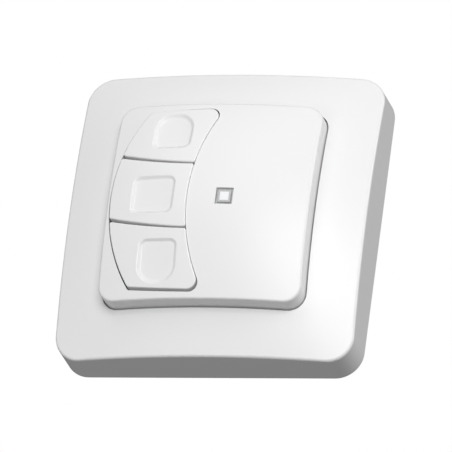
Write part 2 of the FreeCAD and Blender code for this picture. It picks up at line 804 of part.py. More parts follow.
def make_front_cover():
    blank = rounded_slab("cover_blank", "cover_width", "cover_height", "cover_corner",
                         "cover_foot_level", FAR)
    shell = common("cover_dome_cut", blank,
                   dome_slab("cover_dome", size("cover_lift"), DEEP))
    shell = round_edges("cover_round", shell, size("cover_edge_round"),
                        dome_edges(size("cover_foot_level") + TINY))
    hollow = rounded_slab("cover_hollow", "cover_width - 2 * cover_wall",
                          "cover_height - 2 * cover_wall", "cover_corner - cover_wall",
                          "cover_foot_level - 1", FAR)
    hollow = common("cover_hollow_dome", hollow,
                    dome_slab("cover_inner_dome", size("cover_lift") - size("cover_skin"), DEEP))
    stays = []
    for number, place in enumerate(("0 - bracket_outer_y", "0 - bracket_inner_y",
                                    "bracket_inner_y", "bracket_outer_y")):
        stays.append(block(f"cover_bracket_{number}", "2 * knuckle_radius", "bracket_width",
                           "axle_level - knuckle_radius", FAR, "axle_x", place))
    for side in (-1, 1):
        for level in (-1, 1):
            reach = f"{side} * (cover_width / 2 - cover_wall - cover_hook_reach / 2)"
            stays.append(block(f"cover_hook_{side + 1}_{level + 1}", "cover_hook_reach",
                               "cover_hook_width", "cover_hook_level",
                               "cover_hook_level + cover_hook_thick", reach,
                               f"{level} * cover_hook_place"))
    hollow = cut("cover_hollow_left", hollow, *stays)
    window = column_prism("cover_key_window", "0", "0", "0", "0")
    window = common("cover_key_window_deep", window,
                    dome_slab("cover_window_slab", size("cover_lift") + size("cover_skin"),
                              size("cover_skin") + size("column_window_deep")))
    axle_hole = bar("cover_axle_hole", "axle_radius + axle_seat_play", "0 - axle_end_y",
                    "axle_end_y", "axle_x", "axle_level")
    light_hole = block("cover_light_hole", "window_width + 2 * window_play",
                       "window_width + 2 * window_play", "axle_level", FAR,
                       "window_x", "window_y")
    keep(cut("front_cover_shape", shell, hollow, window, axle_hole, light_hole), "front_cover")


def make_light_window():
    """The square light guide: a lens in a sunk rim, a flange behind and a stem to the lamp."""
    flange_top = size("dome_centre") + size("cover_lift") - size("cover_skin")
    flange_thick = size("window_flange_thick")
    flange_middle = flange_top - flange_thick / 2
    head = block("light_head", "window_width", "window_width", flange_middle, FAR,
                 "window_x", "window_y")
    head = common("light_head_cut", head,
                  dome_slab("light_dome", size("cover_lift") - size("window_rim_sink"), DEEP))
    lens = block("light_lens", "window_lens_width", "window_lens_width", flange_middle, FAR,
                 "window_x", "window_y")
    lens = common("light_lens_cut", lens,
                  dome_slab("light_lens_dome", size("cover_lift") - size("window_sink"), DEEP))
    lens = round_edges("light_lens_round", lens, size("window_lens_round"),
                       dome_edges(flange_top))
    flange = block("light_flange", "window_flange", "window_flange",
                   flange_top - 2 * flange_thick, FAR, "window_x", "window_y")
    under_skin = size("cover_lift") - size("cover_skin") - size("window_seat_play")
    flange = common("light_flange_cut", flange,
                    dome_slab("light_flange_dome", under_skin, flange_thick))
    stem = block("light_stem", "guide_width", "guide_width",
                 "board_level + board_thick + lamp_height + guide_gap", flange_middle,
                 "window_x", "window_y")
    keep(fuse("light_window_shape", head, lens, flange, stem), "light_window")


def make_axle():
    axle = bar("axle_bar", "axle_radius", "0 - axle_end_y", "axle_end_y", "axle_x", "axle_level")
    axle_ends = round_edges("axle_ends", axle, size("axle_radius") / 4,
                            lambda edge: edge.Curve.TypeId == "Part::GeomCircle")
    keep(axle_ends, "key_axle")


# Circuit board and what stands on it

def make_board():
    body = rounded_slab("circuit_board_body", "board_width", "board_height", "board_corner",
                        "board_level", "board_level + board_thick")
    for side in (-1, 1):
        for level in (-1, 1):
            hole = sketch_at(body, f"board_hole_{side + 1}_{level + 1}", "board_level",
                             f"{side} * post_x", f"{level} * post_y")
            draw_circle(hole, "screw_radius + board_hole_play")
            pocket(body, hole, "board_thick")
    keep(body, "circuit_board")


def make_board_screws():
    """Four pan head screws, each turned about its own axis, with a slot in the head."""
    screws = []
    for side in (-1, 1):
        for level in (-1, 1):
            tag = f"{side + 1}_{level + 1}"
            x = f"{side} * post_x"
            y = f"{level} * post_y"
            seat = "board_level + board_thick"
            shank = disc(f"screw_shank_{tag}", "screw_radius", f"{seat} - screw_length",
                         f"{seat} + screw_head_height / 4", x, y)
            head = disc(f"screw_head_{tag}", "screw_head_radius", seat,
                        f"{seat} + screw_head_height", x, y)
            top = size("board_level") + size("board_thick") + size("screw_head_height") - TINY
            head = round_edges(f"screw_head_round_{tag}", head, size("screw_head_height") / 2,
                               lambda edge: edge.Vertexes[0].Point.z > top)
            slot = block(f"screw_slot_{tag}", "3 * screw_head_radius", "screw_slot_width",
                         f"{seat} + screw_head_height - screw_slot_deep", FAR, x, y)
            screws.append(cut(f"screw_{tag}", fuse(f"screw_blank_{tag}", shank, head), slot))
    keep(group("board_screws_shape", screws), "board_screws")


def make_switch(name, x, y, seat, front):
    """A push switch's case, with a square foot, a round collar and the plunger's bore."""
    sign = 1 if front else -1
    width = "switch_width"

    def levels(start, end):
        near = f"{seat} + {sign} * ({start})"
        far = f"{seat} + {sign} * ({end})"
        return (near, far) if front else (far, near)

    low, high = levels("0", "switch_height - switch_rim")
    case = rounded_slab(name + "_case", width, width, "switch_rim", low, high, x, y)
    low, high = levels("switch_height - 2 * switch_rim", "switch_height")
    collar = disc(name + "_collar", "plunger_radius + 2.5 * switch_rim", low, high, x, y)
    low, high = levels("switch_height - plunger_inside - switch_travel - plunger_play",
                       "2 * switch_height")
    bore = disc(name + "_bore", "plunger_radius + plunger_play", low, high, x, y)
    keep(cut(name + "_shape", fuse(name + "_blank", case, collar), bore), name)


def make_plunger(name, x, y, low, high):
    plunger = disc(name + "_bar", "plunger_radius", low, high, x, y)
    rounded = round_edges(name + "_round", plunger, size("plunger_radius") / 6,
                          lambda edge: edge.Curve.TypeId == "Part::GeomCircle")
    keep(rounded, name)


def make_switches():
    seat = "board_level + board_thick"
    for name, y in (("up", "switch_y"), ("stop", "0"), ("down", "0 - switch_y")):
        make_switch(name + "_switch", "switch_x", y, seat, True)
        make_plunger(name + "_plunger", "switch_x", y,
                     f"{seat} + switch_height - plunger_inside",
                     f"{seat} + switch_height + plunger_rise")
    make_switch("learn_switch", "learn_x", "learn_y", "board_level", False)
    make_plunger("learn_button", "learn_x", "learn_y", "learn_tip_level",
                 "board_level - switch_height + plunger_inside")


def make_lamp():
    seat = "board_level + board_thick"
    base = block("lamp_base", "lamp_width", "lamp_depth", seat, f"{seat} + lamp_height / 2",
                 "window_x", "window_y")
    dome = disc("lamp_dome", "lamp_dome_radius", seat, f"{seat} + lamp_height",
                "window_x", "window_y")
    keep(fuse("lamp_shape", base, dome), "status_lamp")


def make_chip(name):
    """A chip in its flat case, with rows of bent legs on two sides."""
    seat = "board_level + board_thick"
    x = name + "_x"
    y = name + "_y"
    width = name + "_width"
    case = block(name + "_case", width, name + "_height", f"{seat} + chip_case_gap",
                 f"{seat} + chip_thick", x, y)
    leg_top = f"{seat} + chip_pin_level + chip_pin_thick"
    legs = []
    count = int(size("chip_pins"))
    for side in (-1, 1):
        for number in range(count):
            offset = number - (count - 1) / 2
            tag = f"{name}_leg_{side + 1}_{number}"
            leg_y = f"{y} + {offset} * chip_pin_pitch"
            middle = f"{x} + {side} * ({width} + chip_pin_reach - chip_pin_root) / 2"
            foot = f"{x} + {side} * ({width} / 2 + chip_pin_reach - chip_pin_foot / 2)"
            legs.append(block(tag + "_top", "chip_pin_reach + chip_pin_root", "chip_pin_width",
                              f"{seat} + chip_pin_level", leg_top, middle, leg_y))
            legs.append(block(tag + "_foot", "chip_pin_foot", "chip_pin_width", seat, leg_top,
                              foot, leg_y))
    keep(fuse(name + "_shape", case, *legs), name)


def make_crystal():
    """An oval metal can on its base."""
    seat = "board_level + board_thick"
    base = rounded_slab("crystal_base", "crystal_length", "crystal_width",
                        "(crystal_width - crystal_flat) / 2", seat,
                        f"{seat} + crystal_base_height", "crystal_x", "crystal_y")
    can = rounded_slab("crystal_can", "crystal_length - 2 * crystal_rim",
                       "crystal_width - 2 * crystal_rim",
                       "(crystal_width - crystal_flat) / 2 - crystal_rim", seat,
                       f"{seat} + crystal_height", "crystal_x", "crystal_y")
    keep(fuse("crystal_shape", base, can), "crystal")


def make_capacitors():
    seat = "board_level + board_thick"
    parts = []
    count = int(size("capacitor_count"))
    for number in range(count):
        offset = number - (count - 1) / 2
        x = f"capacitor_x + {offset} * capacitor_pitch"
        parts.append(block(f"capacitor_{number}", "capacitor_width", "capacitor_length", seat,
                           f"{seat} + capacitor_height", x, "capacitor_y"))
    keep(group("capacitors_shape", parts), "board_capacitors")


def make_aerial():
    """A wire loop that stands on two legs at the right edge of the board."""
    low = size("board_level") + size("board_thick")
    top = low + size("aerial_rise")
    half = size("aerial_half_length")
    bend = size("aerial_bend")
    x = size("aerial_x")
    slant = bend * (1 - math.sqrt(0.5))
    start = Vector(x, half, low)
    end = Vector(x, -half, low)
    bends = []
    for sign in (1, -1):
        bends.append((Vector(x, sign * half, top - bend),
                      Vector(x, sign * (half - slant), top - slant),
                      Vector(x, sign * (half - bend), top)))
    upper, lower = bends
    path = Part.Wire([Part.LineSegment(start, upper[0]).toShape(), Part.Arc(*upper).toShape(),
                      Part.LineSegment(upper[2], lower[2]).toShape(),
                      Part.Arc(*reversed(lower)).toShape(),
                      Part.LineSegment(lower[0], end).toShape()])
    section = Part.Wire([Part.Circle(start, Vector(0, 0, 1), size("aerial_radius")).toShape()])
    wire = doc.addObject("Part::Feature", "aerial_shape")
    wire.Shape = path.makePipeShell([section], True, False)
    keep(wire, "aerial")


# Rear housing

def make_base_housing():
    floor = "wall_plate_thick + housing_floor"
    rim = "board_level + board_thick + housing_rim_above_board"
    shell = rounded_slab("housing_blank", "housing_width", "housing_height", "housing_corner",
                         "wall_plate_thick", rim)
    hollow = rounded_slab("housing_hollow", "housing_width - 2 * housing_wall",
                          "housing_height - 2 * housing_wall", "housing_corner - housing_wall",
                          floor, FAR)
    posts = []
    for side in (-1, 1):
        for level in (-1, 1):
            posts.append(disc(f"housing_post_{side + 1}_{level + 1}", "post_radius",
                              "wall_plate_thick", "board_level", f"{side} * post_x",
                              f"{level} * post_y"))
    tools = [cut("housing_hollow_left", hollow, *posts)]
    for side in (-1, 1):
        for level in (-1, 1):
            tools.append(disc(f"housing_pilot_{side + 1}_{level + 1}",
                              "screw_radius + screw_play",
                              "board_level + board_thick - screw_length - screw_tip_room", FAR,
                              f"{side} * post_x", f"{level} * post_y"))
            tools.append(block(f"housing_window_{side + 1}_{level + 1}", "4 * housing_wall",
                               "cover_hook_width + 2 * hook_window_play",
                               "cover_hook_level - hook_window_play",
                               "cover_hook_level + cover_hook_thick + hook_window_play",
                               f"{side} * housing_width / 2", f"{level} * cover_hook_place"))
    for level in (-1, 1):
        tools.append(block(f"housing_groove_{level + 1}", "catch_groove_width",
                           "2 * catch_groove_deep", "catch_groove_level",
                           "catch_groove_level + catch_groove_height", "0",
                           f"{level} * housing_height / 2"))
    tools.append(disc("housing_cell_door", "cell_door_radius", "0", floor, "cell_x", "cell_y"))
    tools.append(disc("housing_learn_hole", "plunger_radius + plunger_play", "0", floor,
                      "learn_x", "learn_y"))
    keep(cut("base_housing_shape", shell, *tools), "base_housing")


# Wall plate

def slot_tool(name, low, margin, sign, upright):
    """A cutter for one screw slot from a depth outwards, wider than the slot by margin."""
    place = f"{sign} * slot_spacing / 2"
    body = new_body(name)
    outline = sketch_at(body, name + "_outline", low, "0" if upright else place,
                        place if upright else "0")
    draw_slot(outline, f"slot_length + 2 * {margin}", f"(slot_radius + {margin})", upright)
    pad(body, outline, FAR)
    return body


def make_wall_plate():
    """A flat plate with ribs, four screw slots in recesses and two spring arms."""
    body = rounded_slab("wall_plate_blank", "wall_plate_width", "wall_plate_height",
                        "wall_plate_corner", "0", "wall_plate_thick")
    additions = [body]
    rib_top = "wall_plate_thick + plate_rib_height"
    lug_reach = "catch_groove_deep + arm_gap - catch_play"
    arm_top = "catch_groove_level + catch_groove_height - catch_play"
    for sign in (-1, 1):
        additions.append(block(f"plate_rib_upright_{sign + 1}", "plate_rib_width",
                               "2 * plate_rib_y + plate_rib_width",
                               "wall_plate_thick - arm_sink", rib_top,
                               f"{sign} * plate_rib_x", "0"))
        additions.append(block(f"plate_rib_across_{sign + 1}",
                               "2 * plate_rib_x + plate_rib_width", "plate_rib_width",
                               "wall_plate_thick - arm_sink", rib_top,
                               "0", f"{sign} * plate_rib_y"))
    for sign in (-1, 1):
        arm_y = f"{sign} * (housing_height / 2 + arm_gap + arm_wall / 2)"
        additions.append(block(f"plate_arm_{sign + 1}", "arm_width", "arm_wall",
                               "wall_plate_thick - arm_sink", arm_top, "0", arm_y))
        lug_y = f"{sign} * (housing_height / 2 + arm_gap - ({lug_reach}) / 2)"
        additions.append(block(f"plate_lug_{sign + 1}", "arm_width", lug_reach,
                               "catch_groove_level + catch_play", arm_top, "0", lug_y))
    plate = fuse("wall_plate_ribbed", *additions)
    tools = []
    for sign in (-1, 1):
        for upright in (True, False):
            tag = f"{sign + 1}_{int(upright)}"
            tools.append(slot_tool(f"plate_slot_{tag}", "-1", "0", sign, upright))
            tools.append(slot_tool(f"plate_recess_{tag}", "wall_plate_thick - slot_recess_deep",
                                   "slot_recess_width", sign, upright))
    keep(cut("wall_plate_shape", plate, *tools), "wall_plate")


# Coin cell, its holder and contacts on the back of the board

def make_cell():
    cell_low = "board_level - holder_floor - cell_thick - leaf_thick"
    cell_high = "board_level - holder_floor - leaf_thick"
    blank = rounded_slab("holder_blank", "holder_width", "holder_width", "holder_corner",
                         cell_low, "board_level", "cell_x", "cell_y")
    rivet_place = "cell_x - cell_radius / 2"
    rivet_hole = disc("holder_rivet_hole", "rivet_radius + rivet_play", "0", FAR, rivet_place,
                      "cell_y")
    pocket_hole = disc("holder_pocket", "cell_radius + cell_play", "0",
                       "board_level - holder_floor", "cell_x", "cell_y")
    finger = block("holder_finger_slot", "holder_width", "holder_finger_width", "0",
                   "board_level - holder_floor - cell_thick / 2", "cell_x + holder_width / 2",
                   "cell_y")
    keep(cut("cell_holder_shape", blank, pocket_hole, finger, rivet_hole), "cell_holder")
    cell = disc("cell_can", "cell_radius", cell_low, cell_high, "cell_x", "cell_y")
    cell = round_edges("cell_rim", cell, size("cell_edge_round"),
                       lambda edge: edge.Curve.TypeId == "Part::GeomCircle")
    keep(cell, "coin_cell")
    clip_top = block("clip_strap", "clip_width", "holder_width + 2 * leaf_thick",
                     f"{cell_low} - leaf_thick", cell_low, "cell_x", "cell_y")
    clip_parts = [clip_top]
    for sign in (-1, 1):
        leg_y = f"cell_y + {sign} * (holder_width / 2 + leaf_thick / 2)"
        clip_parts.append(block(f"clip_leg_{sign + 1}", "clip_width", "leaf_thick",
                                f"{cell_low} - leaf_thick", "board_level", "cell_x", leg_y))
        foot_y = f"cell_y + {sign} * (holder_width / 2 + clip_foot / 2)"
        clip_parts.append(block(f"clip_foot_{sign + 1}", "clip_width", "clip_foot",
                                "board_level - leaf_thick", "board_level", "cell_x", foot_y))
    keep(fuse("cell_clip_shape", *clip_parts), "cell_clip")
    strip = block("leaf_strip", "leaf_length", "leaf_width", cell_high,
                  f"{cell_high} + leaf_thick", "cell_x", "cell_y")
    rivet = disc("leaf_rivet", "rivet_radius", cell_high, "board_level", rivet_place, "cell_y")
    keep(fuse("cell_spring_shape", strip, rivet), "cell_spring")


def check_and_write():
    """Stop on a failed object or a bad shape, then write one file for each piece."""
    doc.recompute()
    for item in doc.Objects:
        if "Invalid" in item.State or "Error" in item.State:
            raise RuntimeError(f"{item.Name} failed: {item.State}")
    for item in NODES:
        if item.Shape.isNull() or not item.Shape.isValid():
            raise RuntimeError(f"{item.Label} has a bad shape")
    os.makedirs("parts", exist_ok=True)
    for item in NODES:
        item.Shape.exportStep(f"parts/{item.Label}.step")
        box = item.Shape.BoundBox
        print(f"{item.Label:18s} solids {len(item.Shape.Solids)} volume {item.Shape.Volume:9.1f}"
              f"  x {box.XMin:6.1f} {box.XMax:6.1f}  y {box.YMin:6.1f} {box.YMax:6.1f}"
              f"  z {box.ZMin:6.1f} {box.ZMax:6.1f}")


make_wall_plate()
make_base_housing()
make_cover_frame()
make_front_cover()
make_keys()
make_axle()
make_light_window()
make_board()
make_board_screws()
make_switches()
make_lamp()
make_chip("control_chip")
make_chip("radio_chip")
make_crystal()
make_capacitors()
make_aerial()
make_cell()
check_and_write()
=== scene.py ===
"""Looks of the wireless remote wall switch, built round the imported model.

The camera repeats the photograph's view. Lights, floor and world make a plain
pale studio, and every piece gets a procedural finish on Object coordinates.
"""

import json
import logging
import math
from dataclasses import dataclass
from enum import Enum

import bmesh
import bpy
from mathutils import Matrix, Vector


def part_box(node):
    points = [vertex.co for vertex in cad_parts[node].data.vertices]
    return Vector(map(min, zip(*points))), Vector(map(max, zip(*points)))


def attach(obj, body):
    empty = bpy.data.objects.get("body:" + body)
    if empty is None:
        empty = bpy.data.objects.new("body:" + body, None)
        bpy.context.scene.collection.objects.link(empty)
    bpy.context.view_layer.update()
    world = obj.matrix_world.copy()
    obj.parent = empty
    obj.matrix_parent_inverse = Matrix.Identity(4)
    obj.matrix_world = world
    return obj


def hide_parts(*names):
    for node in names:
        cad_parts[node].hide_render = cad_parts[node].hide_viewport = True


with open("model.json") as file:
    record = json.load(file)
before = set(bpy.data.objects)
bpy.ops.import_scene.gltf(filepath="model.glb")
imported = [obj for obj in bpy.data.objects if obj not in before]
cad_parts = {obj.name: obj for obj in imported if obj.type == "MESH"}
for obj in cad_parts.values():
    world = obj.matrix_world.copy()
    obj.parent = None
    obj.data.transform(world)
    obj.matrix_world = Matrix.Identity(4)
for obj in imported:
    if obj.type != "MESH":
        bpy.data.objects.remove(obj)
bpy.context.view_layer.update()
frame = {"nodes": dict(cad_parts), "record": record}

LOG = logging.getLogger("wall_switch")
MM = 0.001

Colour = tuple[float, float, float]
Profile = tuple[tuple[float, float], ...]
Places = tuple[tuple[float, float], ...]
Finishes = dict[str, bpy.types.Material]
Term = bpy.types.NodeSocket | float

# Distance of the circuit board's faces from the wall, and the middle of each push
# switch as x and z, in millimetres.
BOARD_FRONT = 14.6
BOARD_REAR = 13.0
PUSH_SWITCHES: Places = ((-13.0, 18.6), (-13.0, 0.0), (-13.0, -18.6))


class Group(Enum):
    """Names of the shader node groups that several finishes share."""

    GRAIN = "mould_grain"
    DRIFT = "tone_drift"
    TRACKS = "board_tracks"
    SQUARE = "square_mask"


class Step(Enum):
    """The steps of arithmetic that the shader groups take."""

    ABSOLUTE = "ABSOLUTE"
    SUBTRACT = "SUBTRACT"
    MULTIPLY = "MULTIPLY"
    MULTIPLY_ADD = "MULTIPLY_ADD"
    DIVIDE = "DIVIDE"
    MAXIMUM = "MAXIMUM"


class Side(Enum):
    """The side of the circuit board that a small piece stands on."""

    FRONT = -1
    REAR = 1


def new_group(name: str, inputs: dict[str, tuple[str, object]],
              outputs: dict[str, str]) -> bpy.types.ShaderNodeTree:
    """Make an empty shader node group with named sockets.

    Args:
        name: Name of the group.
        inputs: Socket names with their type and default value.
        outputs: Socket names with their type.

    Returns:
        The group, with its input and output nodes added.
    """
    tree = bpy.data.node_groups.new(name, "ShaderNodeTree")
    for label, (kind, value) in inputs.items():
        socket = tree.interface.new_socket(label, in_out="INPUT", socket_type=kind)
        socket.default_value = value
    for label, kind in outputs.items():
        tree.interface.new_socket(label, in_out="OUTPUT", socket_type=kind)
    tree.nodes.new("NodeGroupInput").name = "in"
    tree.nodes.new("NodeGroupOutput").name = "out"
    return tree


def feed(tree: bpy.types.NodeTree, term: Term, entry: bpy.types.NodeSocket) -> None:
    """Link a socket to an entry, or set the entry to a fixed number.

    Args:
        tree: The tree that holds both sockets.
        term: The socket or the number.
        entry: The socket that takes it.
    """
    if isinstance(term, bpy.types.NodeSocket):
        tree.links.new(term, entry)
    else:
        entry.default_value = term


def arithmetic(tree: bpy.types.NodeTree, step: Step, *terms: Term) -> bpy.types.NodeSocket:
    """Add one step of arithmetic to a tree.

    Args:
        tree: The tree that gets the step.
        step: The operation.
        terms: What goes into it, in order.

    Returns:
        The socket with the result.
    """
    node = tree.nodes.new("ShaderNodeMath")
    node.operation = step.value
    for term, entry in zip(terms, node.inputs):
        feed(tree, term, entry)
    return node.outputs["Value"]


def object_noise(tree: bpy.types.NodeTree, scale: Term, detail: float,
                 roughness: float = 0.5) -> bpy.types.NodeSocket:
    """Add a noise that lies fixed on the piece.

    Args:
        tree: The tree that gets the noise.
        scale: Its waves per metre.
        detail: How many finer waves are laid over the first.
        roughness: How strong the finer waves are.

    Returns:
        The socket with the noise, about 0.5 on average.
    """
    place = tree.nodes.new("ShaderNodeTexCoord")
    noise = tree.nodes.new("ShaderNodeTexNoise")
    noise.inputs["Detail"].default_value = detail
    noise.inputs["Roughness"].default_value = roughness
    tree.links.new(place.outputs["Object"], noise.inputs["Vector"])
    feed(tree, scale, noise.inputs["Scale"])
    return noise.outputs["Fac"]


def object_axes(tree: bpy.types.NodeTree) -> bpy.types.NodeOutputs:
    """Split a piece's Object coordinates into X, Y and Z.

    Args:
        tree: The tree that gets the nodes.

    Returns:
        The three sockets by name.
    """
    place = tree.nodes.new("ShaderNodeTexCoord")
    split = tree.nodes.new("ShaderNodeSeparateXYZ")
    tree.links.new(place.outputs["Object"], split.inputs[0])
    return split.outputs


def grain_group() -> None:
    """Height of the fine spark-eroded grain that a mould leaves on plastic."""
    tree = new_group(Group.GRAIN.value,
                     {"Scale": ("NodeSocketFloat", 2500.0)},
                     {"Height": "NodeSocketFloat"})
    given, result = tree.nodes["in"].outputs, tree.nodes["out"].inputs
    height = object_noise(tree, given["Scale"], detail=3.0, roughness=0.55)
    tree.links.new(height, result["Height"])


def drift_group() -> None:
    """Slow drift of tone and gloss over a surface, as in real moulded or plated parts."""
    tree = new_group(Group.DRIFT.value,
                     {"Colour": ("NodeSocketColor", (0.8, 0.8, 0.8, 1.0)),
                      "Amount": ("NodeSocketFloat", 0.02),
                      "Scale": ("NodeSocketFloat", 60.0),
                      "Roughness": ("NodeSocketFloat", 0.4),
                      "Gloss Drift": ("NodeSocketFloat", 0.04)},
                     {"Colour": "NodeSocketColor", "Roughness": "NodeSocketFloat"})
    given, result = tree.nodes["in"].outputs, tree.nodes["out"].inputs
    noise = object_noise(tree, given["Scale"], detail=2.0)
    centred = arithmetic(tree, Step.SUBTRACT, noise, 0.5)
    tone = arithmetic(tree, Step.MULTIPLY_ADD, centred, given["Amount"], 1.0)
    scaled = tree.nodes.new("ShaderNodeVectorMath")
    scaled.operation = "SCALE"
    tree.links.new(given["Colour"], scaled.inputs[0])
    tree.links.new(tone, scaled.inputs["Scale"])
    gloss = arithmetic(tree, Step.MULTIPLY_ADD, centred, given["Gloss Drift"],
                       given["Roughness"])
    tree.links.new(scaled.outputs["Vector"], result["Colour"])
    tree.links.new(gloss, result["Roughness"])


def tracks_group() -> None:
    """Mask of the copper tracks that show through a board's green lacquer.

    Long parallel lines run across in some patches of the board and upwards in the
    others, and a second noise leaves bare stretches between them.
    """
    tree = new_group(Group.TRACKS.value,
                     {"Scale": ("NodeSocketFloat", 90.0),
                      "Width": ("NodeSocketFloat", 0.018)},
                     {"Mask": "NodeSocketFloat"})
    nodes, links = tree.nodes, tree.links
    given, axes = nodes["in"].outputs, object_axes(tree)
    lines = []
    for along, over in (("X", "Z"), ("Z", "X")):
        flat = nodes.new("ShaderNodeCombineXYZ")
        links.new(axes[along], flat.inputs["X"])
        links.new(axes[over], flat.inputs["Y"])
        brick = nodes.new("ShaderNodeTexBrick")
        brick.offset = 0.37
        brick.inputs["Brick Width"].default_value = 1.9
        brick.inputs["Row Height"].default_value = 0.12
        brick.inputs["Mortar Smooth"].default_value = 0.1
        links.new(flat.outputs["Vector"], brick.inputs["Vector"])
        links.new(given["Scale"], brick.inputs["Scale"])
        links.new(given["Width"], brick.inputs["Mortar Size"])
        lines.append(brick.outputs["Fac"])
    patches = []
    for waves, low, high in ((130.0, 0.49, 0.51), (210.0, 0.5, 0.52)):
        limit = nodes.new("ShaderNodeMapRange")
        limit.inputs["From Min"].default_value = low
        limit.inputs["From Max"].default_value = high
        links.new(object_noise(tree, waves, detail=0.0), limit.inputs["Value"])
        patches.append(limit.outputs["Result"])
    turned, broken = patches
    courses = nodes.new("ShaderNodeMix")
    links.new(turned, courses.inputs["Factor"])
    links.new(lines[0], courses.inputs["A"])
    links.new(lines[1], courses.inputs["B"])
    mask = arithmetic(tree, Step.MULTIPLY, courses.outputs["Result"], broken)
    links.new(mask, nodes["out"].inputs["Mask"])


def square_group() -> None:
    """Mask that is 1 outside a square round a point and 0 inside it."""
    tree = new_group(Group.SQUARE.value,
                     {"X": ("NodeSocketFloat", 0.0), "Z": ("NodeSocketFloat", 0.0),
                      "Half": ("NodeSocketFloat", 0.001), "Soft": ("NodeSocketFloat", 0.0001)},
                     {"Mask": "NodeSocketFloat"})
    given, axes = tree.nodes["in"].outputs, object_axes(tree)
    across, upward = (
        arithmetic(tree, Step.ABSOLUTE,
                   arithmetic(tree, Step.SUBTRACT, axes[label], given[label]))
        for label in ("X", "Z"))
    reach = arithmetic(tree, Step.MAXIMUM, across, upward)
    beyond = arithmetic(tree, Step.SUBTRACT, reach, given["Half"])
    ramp = tree.nodes.new("ShaderNodeClamp")
    tree.links.new(arithmetic(tree, Step.DIVIDE, beyond, given["Soft"]), ramp.inputs["Value"])
    tree.links.new(ramp.outputs["Result"], tree.nodes["out"].inputs["Mask"])


def place_group(material: bpy.types.Material, group: Group,
                values: dict[str, object]) -> bpy.types.NodeOutputs:
    """Place a shared group in a material with values of its own.

    Args:
        material: The material that gets the group.
        group: The group.
        values: Value of each input by name.

    Returns:
        The group's outputs by name.
    """
    node = material.node_tree.nodes.new("ShaderNodeGroup")
    node.node_tree = bpy.data.node_groups[group.value]
    for label, value in values.items():
        node.inputs[label].default_value = value
    return node.outputs


def lay_colour(material: bpy.types.Material, mask: bpy.types.NodeSocket,
               colour: Colour) -> None:
    """Lay a second colour over a material's own where a mask is 1.

    Args:
        material: The material.
        mask: The socket with the mask.
        colour: The second colour.
    """
    nodes, links = material.node_tree.nodes, material.node_tree.links
    base = nodes["Principled BSDF"].inputs["Base Color"]
    plain = base.links[0].from_socket
    mix = nodes.new("ShaderNodeMix")
    mix.data_type = "RGBA"
    mix.inputs["B"].default_value = (*colour, 1.0)
    links.new(mask, mix.inputs["Factor"])
    links.new(plain, mix.inputs["A"])
    links.new(mix.outputs["Result"], base)


@dataclass(frozen=True)
class Finish:
    """A finish: colour, gloss, slow drift of both, and a fine grain in the surface.

    Scales are in waves per metre, and grain_height is in millimetres.
    """

    name: str
    colour: Colour
    roughness: float
    metallic: float = 0.0
    ior: float = 1.46
    coat: float = 0.0
    coat_roughness: float = 0.12
    drift: float = 0.02
    drift_scale: float = 60.0
    gloss_drift: float = 0.05
    grain_scale: float = 2500.0
    grain_height: float = 0.004

    def material(self) -> bpy.types.Material:
        """Build the finish.

        Returns:
            A new material with the finish's name.
        """
        material = bpy.data.materials.new(self.name)
        material.use_nodes = True
        nodes, links = material.node_tree.nodes, material.node_tree.links
        shader = nodes["Principled BSDF"]
        for label, value in (("Metallic", self.metallic), ("IOR", self.ior),
                             ("Coat Weight", self.coat),
                             ("Coat Roughness", self.coat_roughness)):
            shader.inputs[label].default_value = value
        drift = place_group(material, Group.DRIFT,
                            {"Colour": (*self.colour, 1.0), "Amount": self.drift,
                             "Scale": self.drift_scale, "Roughness": self.roughness,
                             "Gloss Drift": self.gloss_drift})
        links.new(drift["Colour"], shader.inputs["Base Color"])
        links.new(drift["Roughness"], shader.inputs["Roughness"])
        grain = place_group(material, Group.GRAIN, {"Scale": self.grain_scale})
        bump = nodes.new("ShaderNodeBump")
        bump.inputs["Distance"].default_value = self.grain_height * MM
        links.new(grain["Height"], bump.inputs["Height"])
        links.new(bump.outputs["Normal"], shader.inputs["Normal"])
        return material


@dataclass(frozen=True)
class BoardFinish(Finish):
    """Green lacquer with the tracks under it, a little paler and raised."""

    track_colour: Colour = (0.05, 0.22, 0.09)
    track_height: float = 0.03

    def material(self) -> bpy.types.Material:
        """Build the plain finish, then lay the tracks over its colour and height.

        Returns:
            A new material with the finish's name.
        """
        material = super().material()
        nodes, links = material.node_tree.nodes, material.node_tree.links
        normal = nodes["Principled BSDF"].inputs["Normal"]
        grain = normal.links[0].from_socket
        tracks = place_group(material, Group.TRACKS, {})
        lay_colour(material, tracks["Mask"], self.track_colour)
        raised = nodes.new("ShaderNodeBump")
        raised.inputs["Distance"].default_value = self.track_height * MM
        links.new(tracks["Mask"], raised.inputs["Height"])
        links.new(grain, raised.inputs["Normal"])
        links.new(raised.outputs["Normal"], normal)
        return material


@dataclass(frozen=True)
class WindowFinish(Finish):
    """Frosted light guide with a grey frame of painted shade round its unshaded middle.

    The width of the unshaded middle and that of its soft edge are in millimetres.
    """

    unshaded_width: float = 2.2
    soft: float = 0.12
    # Grey of the painted shade, which stands in for the shadow in the window's sunken rim
    # groove.
    painted_shade_colour: Colour = (0.5, 0.505, 0.51)

    def material(self) -> bpy.types.Material:
        """Build the plain finish, then lay painted shade over it outside the unshaded middle.

        Returns:
            A new material with the finish's name.
        """
        material = super().material()
        low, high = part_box("light_window")
        square = place_group(material, Group.SQUARE,
                             {"X": (low[0] + high[0]) / 2, "Z": (low[2] + high[2]) / 2,
                              "Half": self.unshaded_width / 2 * MM, "Soft": self.soft * MM})
        # Painted shade: the frame round the middle is darkened, as shadow in the sunken rim's
        # groove would darken it.
        lay_colour(material, square["Mask"], self.painted_shade_colour)
        return material


